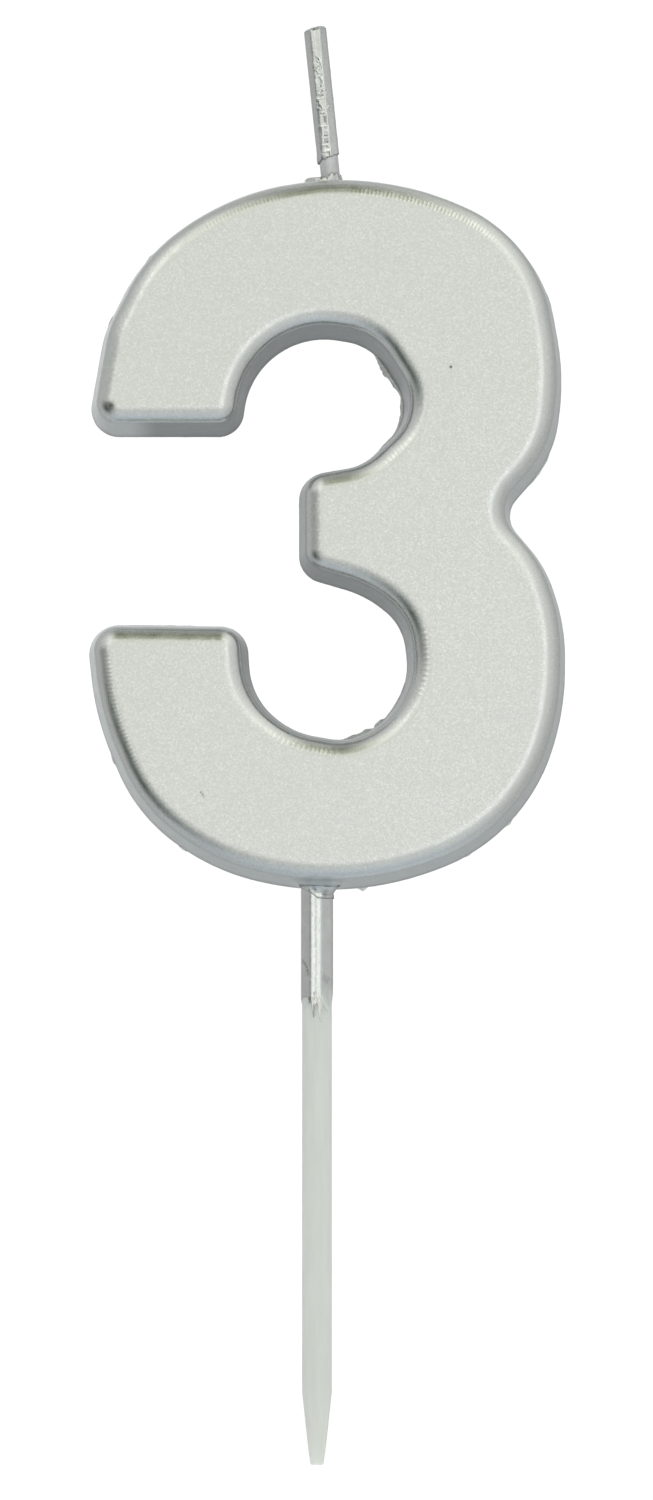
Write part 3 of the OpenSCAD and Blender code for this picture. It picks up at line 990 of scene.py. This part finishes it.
def silver_lacquer():
    """Satin sprayed silver: fine flakes, faint tool marks across the rolled edge, soft orange peel, painted
    shade and painted highlight.
    """
    m, nt, bsdf = material("silver_lacquer_satin")
    uv = node(nt, "ShaderNodeUVMap")
    uv.uv_map = "rim"
    place = node(nt, "ShaderNodeSeparateXYZ")
    nt.links.new(uv.outputs["UV"], place.inputs[0])
    along, across = place.outputs[0], place.outputs[1]
    band = window(nt, across, (0.02, 0.08), (0.18, 0.36))
    wobble = maths(nt, "MULTIPLY", noise_tex(nt, 500.0, 2.0).outputs["Fac"], 3.0)
    phase = maths(nt, "MULTIPLY", along, 2 * math.pi / HATCH_PITCH)
    wave = maths(nt, "SINE", maths(nt, "ADD", phase, wobble))
    hatch = maths(nt, "MULTIPLY", maths(nt, "MULTIPLY", wave, band), point_value(nt, "tooling"))
    fin = window(nt, across, (2.05, 2.15), (2.6, 2.7))
    nt.links.new(maths(nt, "MULTIPLY", keep_share(nt, fin, 0.6), 0.92), bsdf.inputs["Metallic"])
    torn = maths(nt, "MULTIPLY", noise_tex(nt, 1500.0, 3.0).outputs["Fac"], fin)
    n0 = bump(nt, torn, 0.9, 0.00012)
    n1 = bump(nt, hatch, 0.12, 0.000018, n0)
    n2 = bump(nt, noise_tex(nt, 330.0, 3.0, 0.5).outputs["Fac"], 0.05, 0.00004, n1)
    n3 = bump(nt, noise_tex(nt, 2600.0, 2.0, 0.6).outputs["Fac"], 0.10, 0.000015, n2)
    shade, normal = flakes(nt, 0.00012, 0.040, n3)
    nt.links.new(normal, bsdf.inputs["Normal"])
    tone = maths(nt, "ADD", maths(nt, "MULTIPLY", noise_tex(nt, 60.0, 2.0, 0.5).outputs["Fac"], 0.2),
                 maths(nt, "MULTIPLY", shade, 0.8))
    col = ramp(nt, tone, [(0.15, (0.725, 0.730, 0.712)), (0.62, (0.752, 0.757, 0.738)),
                          (0.92, (0.82, 0.825, 0.80))])
    # painted light and shade on the lacquer: the wall is a little rougher and gets a cool painted reflection
    # tint; painted shade darkens the wall inside the two bowls and in a line near its back corner
    wall = window(nt, across, (0.64, 0.80), (2.02, 2.12))
    start, end = COUNTER_U
    bowl = maths(nt, "MULTIPLY", window(nt, along, (start + 1, start + 4), (end - 4, end - 1)), wall)
    rim = window(nt, across, (1.7, 2.05), (2.05, 2.2))
    # a painted highlight on the tool-mark crests, then painted shade in the bowls, near the wall's back
    # corner and where the points carry painted shade
    light = maths(nt, "ADD", 1.0, maths(nt, "MULTIPLY", maprange(nt, hatch, 0.1, 0.9, 0, 1), 0.2))
    for mask, loss in ((bowl, 0.27), (rim, 0.20), (point_value(nt, "painted_shading"), 0.5)):
        light = maths(nt, "MULTIPLY", light, keep_share(nt, mask, loss))
    cast = ramp(nt, wall, [(0.0, (1.0, 1.0, 1.0)), (1.0, (0.955, 0.995, 1.03))])
    cool = vector_maths(nt, "MULTIPLY", col, cast)
    nt.links.new(vector_maths(nt, "SCALE", cool, light), bsdf.inputs["Base Color"])
    nt.links.new(vector_maths(nt, "SCALE", (1.0, 1.0, 1.0), light), bsdf.inputs["Specular Tint"])
    rough = maprange(nt, noise_tex(nt, 900.0, 3.0).outputs["Fac"], 0.3, 0.7, 0.21, 0.28)
    nt.links.new(maths(nt, "ADD", rough, maths(nt, "MULTIPLY", wall, 0.08)), bsdf.inputs["Roughness"])
    return m


def silver_gloss():
    """Thick glossy silver: streaky, with painted shade in its creases, edges and pits and a painted highlight
    on the wick's plait ridges, and worn to plastic where it is thin.
    """
    m, nt, bsdf = material("silver_lacquer_gloss")
    shade, normal = flakes(nt, 0.00011, 0.05)
    tone = maths(nt, "ADD", maths(nt, "MULTIPLY", noise_tex(nt, 700.0, 5.0, 0.6).outputs["Fac"], 0.7),
                 maths(nt, "MULTIPLY", shade, 0.3))
    col = ramp(nt, tone, [(0.25, (0.66, 0.665, 0.655)), (0.7, (0.78, 0.785, 0.775))])
    # painted shade and painted highlight from the points darken or lighten the colour and its reflection
    keep = keep_share(nt, point_value(nt, "painted_shading"), 0.55)
    shade_painted = vector_maths(nt, "SCALE", col, keep)
    worn = point_value(nt, "thin")
    bare_plastic = (0.665, 0.69, 0.67, 1)
    nt.links.new(blend(nt, worn, shade_painted, bare_plastic), bsdf.inputs["Base Color"])
    nt.links.new(maths(nt, "MULTIPLY", maths(nt, "SUBTRACT", 1.0, worn), 0.95), bsdf.inputs["Metallic"])
    nt.links.new(vector_maths(nt, "SCALE", (1.0, 1.0, 1.0), keep), bsdf.inputs["Specular Tint"])
    rough = maprange(nt, noise_tex(nt, 1500.0, 3.0).outputs["Fac"], 0.3, 0.7, 0.12, 0.2)
    nt.links.new(maths(nt, "ADD", rough, maths(nt, "MULTIPLY", worn, 0.25)), bsdf.inputs["Roughness"])
    n1 = bump(nt, noise_tex(nt, 1100.0, 4.0).outputs["Fac"], 0.35, 0.00003, normal)
    nt.links.new(n1, bsdf.inputs["Normal"])
    return m


def pick_plastic():
    """Milky moulded plastic with faint flow streaks along the pick."""
    m, nt, bsdf = material("pick_plastic")
    stretched = node(nt, "ShaderNodeMapping")
    stretched.inputs["Scale"].default_value = (1.0, 1.0, 0.12)
    nt.links.new(coords(nt), stretched.inputs["Vector"])
    streaks = node(nt, "ShaderNodeTexNoise")
    streaks.inputs["Scale"].default_value = 1400.0
    streaks.inputs["Detail"].default_value = 4.0
    nt.links.new(stretched.outputs[0], streaks.inputs["Vector"])
    col = ramp(nt, streaks.outputs["Fac"], [(0.3, (0.655, 0.675, 0.655)), (0.7, (0.700, 0.718, 0.698))])
    nt.links.new(col, bsdf.inputs["Base Color"])
    bsdf.inputs["Subsurface Weight"].default_value = 0.5
    bsdf.inputs["Subsurface Radius"].default_value = (0.002, 0.002, 0.0018)
    bsdf.inputs["Subsurface Scale"].default_value = 1.0
    rough = maprange(nt, noise_tex(nt, 2500.0, 2.0).outputs["Fac"], 0.3, 0.7, 0.38, 0.5)
    nt.links.new(rough, bsdf.inputs["Roughness"])
    bsdf.inputs["Specular IOR Level"].default_value = 0.3
    n1 = bump(nt, streaks.outputs["Fac"], 0.25, 0.00002)
    nt.links.new(n1, bsdf.inputs["Normal"])
    return m


def soft_wax(name, dark, light, metallic=0.0):
    """Waxy or fibrous filler: a mottled tone, a little light inside it and a fine grain."""
    m, nt, bsdf = material(name)
    col = ramp(nt, noise_tex(nt, 900.0, 4.0).outputs["Fac"], [(0.3, dark), (0.7, light)])
    nt.links.new(col, bsdf.inputs["Base Color"])
    bsdf.inputs["Metallic"].default_value = metallic
    bsdf.inputs["Subsurface Weight"].default_value = 0.3
    bsdf.inputs["Subsurface Radius"].default_value = (0.001, 0.001, 0.0008)
    bsdf.inputs["Subsurface Scale"].default_value = 1.0
    rough = maprange(nt, noise_tex(nt, 2500.0, 2.0).outputs["Fac"], 0.3, 0.7, 0.3, 0.45)
    nt.links.new(rough, bsdf.inputs["Roughness"])
    n1 = bump(nt, noise_tex(nt, 2200.0, 3.0).outputs["Fac"], 0.4, 0.00004)
    nt.links.new(n1, bsdf.inputs["Normal"])
    return m


def put(ob, m):
    if ob.material_slots:
        for slot in ob.material_slots:
            slot.material = m
    else:
        ob.data.materials.append(m)


LACQUER = silver_lacquer()
GLOSS = silver_gloss()
PLASTIC = pick_plastic()
WAX = soft_wax("candle_wax", (0.84, 0.81, 0.74), (0.90, 0.88, 0.82))
WICK_WAX = soft_wax("wick_wax", (0.62, 0.62, 0.635), (0.72, 0.72, 0.73), 0.3)
COTTON = soft_wax("waxed_cotton", (0.80, 0.77, 0.70), (0.90, 0.88, 0.83))
for ob, m in (
    (skin, LACQUER), (wick_coat, GLOSS), (wick_film, LACQUER), (stem, PLASTIC), (pick_coat, GLOSS),
    (pick_film, GLOSS),
):
    put(ob, m)
for name, m in (
    ("wax_numeral", WAX), ("wick_strand_1", COTTON), ("wick_strand_2", COTTON),
    ("wick_strand_3", COTTON), ("wick_wax_jacket", WICK_WAX), ("silver_skin", LACQUER),
    ("wick_silver_sleeve", GLOSS), ("wick_root_bead", LACQUER), ("pick_stem", PLASTIC),
    ("pick_silver_sleeve", GLOSS), ("pick_root_bead", GLOSS),
):
    put(frame["nodes"][name], m)


# ------------------------------------------------------------------ studio
# Radiance of the studio against the angle from the numeral's front, in degrees
STUDIO = [
    (0, 0.79), (20, 0.70), (40, 0.73), (60, 0.69), (90, 0.52), (130, 0.42), (150, 0.36), (170, 0.40),
    (180, 0.58),
]
PLAIN = (1.0, 1.0, 1.0)
WARM = (1.0, 1.02, 0.86)
COOL = (0.95, 0.98, 1.07)
AMBER = (1.4, 0.7, -0.3)
# Soft lamps, and dark cards with a brightness below 0: angle from the front, bearing round it
# (0 is right, 90 is up), tightness, brightness, tint
PANELS = [
    (12, 0, 40, 0.53, COOL), (25, 60, 45, 0.32, PLAIN), (22, 130, 40, 0.60, PLAIN),
    (84, 60, 9, 0.25, WARM), (36, 90, 9, 0.70, WARM), (114, -75, 9, 0.15, COOL),
    (158, 118, 9, 0.52, PLAIN),
    (30, 93, 50, -1.40, PLAIN), (50, 91, 40, -1.07, PLAIN), (10, 90, 80, -0.51, PLAIN),
    (72, 90, 20, -0.52, PLAIN), (24, 165, 40, -0.33, PLAIN), (24, 30, 40, -0.17, PLAIN),
    (60, 188, 9, -0.25, PLAIN), (50, 211, 9, -0.55, PLAIN), (66, -30, 9, -0.11, PLAIN),
    (80, -90, 4, -0.07, AMBER),
]


def world():
    """A pale studio all round: a front-to-back ramp plus soft lamps and dark cards, white behind."""
    w = bpy.data.worlds.new("studio")
    bpy.context.scene.world = w
    w.use_nodes = True
    nt = w.node_tree
    nt.nodes.clear()
    out = nt.nodes.new("ShaderNodeOutputWorld")
    toward = nt.nodes.new("ShaderNodeTexCoord").outputs["Generated"]
    front = vector_maths(nt, "DOT_PRODUCT", toward, (0, -1, 0))
    angle = maths(nt, "DIVIDE", maths(nt, "ARCCOSINE", front), math.pi)
    # a little green all round, and a little less blue toward the front
    stops = [(a / 180, (v, 1.03 * v, (0.98 + 0.04 * min(1, a / 50)) * v)) for a, v in STUDIO]
    total = ramp(nt, angle, stops)
    for off, bearing, tightness, brightness, colour in PANELS:
        off, bearing = math.radians(off), math.radians(bearing)
        aim = (math.sin(off) * math.cos(bearing), -math.cos(off), math.sin(off) * math.sin(bearing))
        facing_it = maths(nt, "MAXIMUM", vector_maths(nt, "DOT_PRODUCT", toward, aim), 0.0)
        lit = maths(nt, "POWER", facing_it, float(tightness))
        glow = tuple(brightness * c for c in colour)
        total = vector_maths(nt, "ADD", total, vector_maths(nt, "SCALE", glow, lit))
    total = vector_maths(nt, "MAXIMUM", total, (0.02, 0.02, 0.02))
    studio = nt.nodes.new("ShaderNodeBackground")
    nt.links.new(total, studio.inputs["Color"])
    backdrop = nt.nodes.new("ShaderNodeBackground")
    backdrop.inputs["Color"].default_value = (1, 1, 1, 1)
    backdrop.inputs["Strength"].default_value = 1.05
    seen = nt.nodes.new("ShaderNodeLightPath")
    mix = nt.nodes.new("ShaderNodeMixShader")
    nt.links.new(seen.outputs["Is Camera Ray"], mix.inputs["Fac"])
    nt.links.new(studio.outputs[0], mix.inputs[1])
    nt.links.new(backdrop.outputs[0], mix.inputs[2])
    nt.links.new(mix.outputs[0], out.inputs["Surface"])


world()

FLOOR_Z = cad_box[0][2]
FLOOR_HALF = 3.0


def floor_surface():
    """Matt, nearly white, and faintly lit from within, so that it stays pale."""
    m, nt, bsdf = material("pale_floor")
    mottle = noise_tex(nt, 3.0, 2.0).outputs["Fac"]
    col = ramp(nt, mottle, [(0.3, (0.93, 0.93, 0.93)), (0.7, (0.95, 0.95, 0.95))])
    nt.links.new(col, bsdf.inputs["Base Color"])
    bsdf.inputs["Roughness"].default_value = 0.9
    bsdf.inputs["Specular IOR Level"].default_value = 0.1
    bsdf.inputs["Emission Color"].default_value = (1, 1, 1, 1)
    bsdf.inputs["Emission Strength"].default_value = 0.5
    return m


corners = [(-1, -1), (1, -1), (1, 1), (-1, 1)]
floor = new_object("floor", [(FLOOR_HALF * i, FLOOR_HALF * j, FLOOR_Z) for i, j in corners],
                   [(0, 1, 2, 3)], smooth=False)
put(floor, floor_surface())
floor.visible_glossy = False

# The camera looks up a little at a point behind the candle's middle, and sees VIEW_HEIGHT there
DIST = 1.0
TILT = math.radians(3.5)
VIEW_HEIGHT = 148.95 * MM
target = Vector((0.94 * MM, 4.0 * MM, 25.7 * MM))
cam_data = bpy.data.cameras.new("camera")
cam = bpy.data.objects.new("camera", cam_data)
bpy.context.scene.collection.objects.link(cam)
cam_data.sensor_fit = "VERTICAL"
cam_data.sensor_height = 24.0
cam_data.lens = cam_data.sensor_height * DIST / VIEW_HEIGHT
cam_data.clip_start = 0.05
cam_data.clip_end = 20
cam.location = target + DIST * Vector((0, -math.cos(TILT), -math.sin(TILT)))
cam.rotation_euler = (math.pi / 2 + TILT, 0, 0)
bpy.context.scene.camera = cam
bpy.context.scene.view_settings.view_transform = "Standard"
bpy.context.scene.view_settings.look = "None"

bpy.context.view_layer.update()
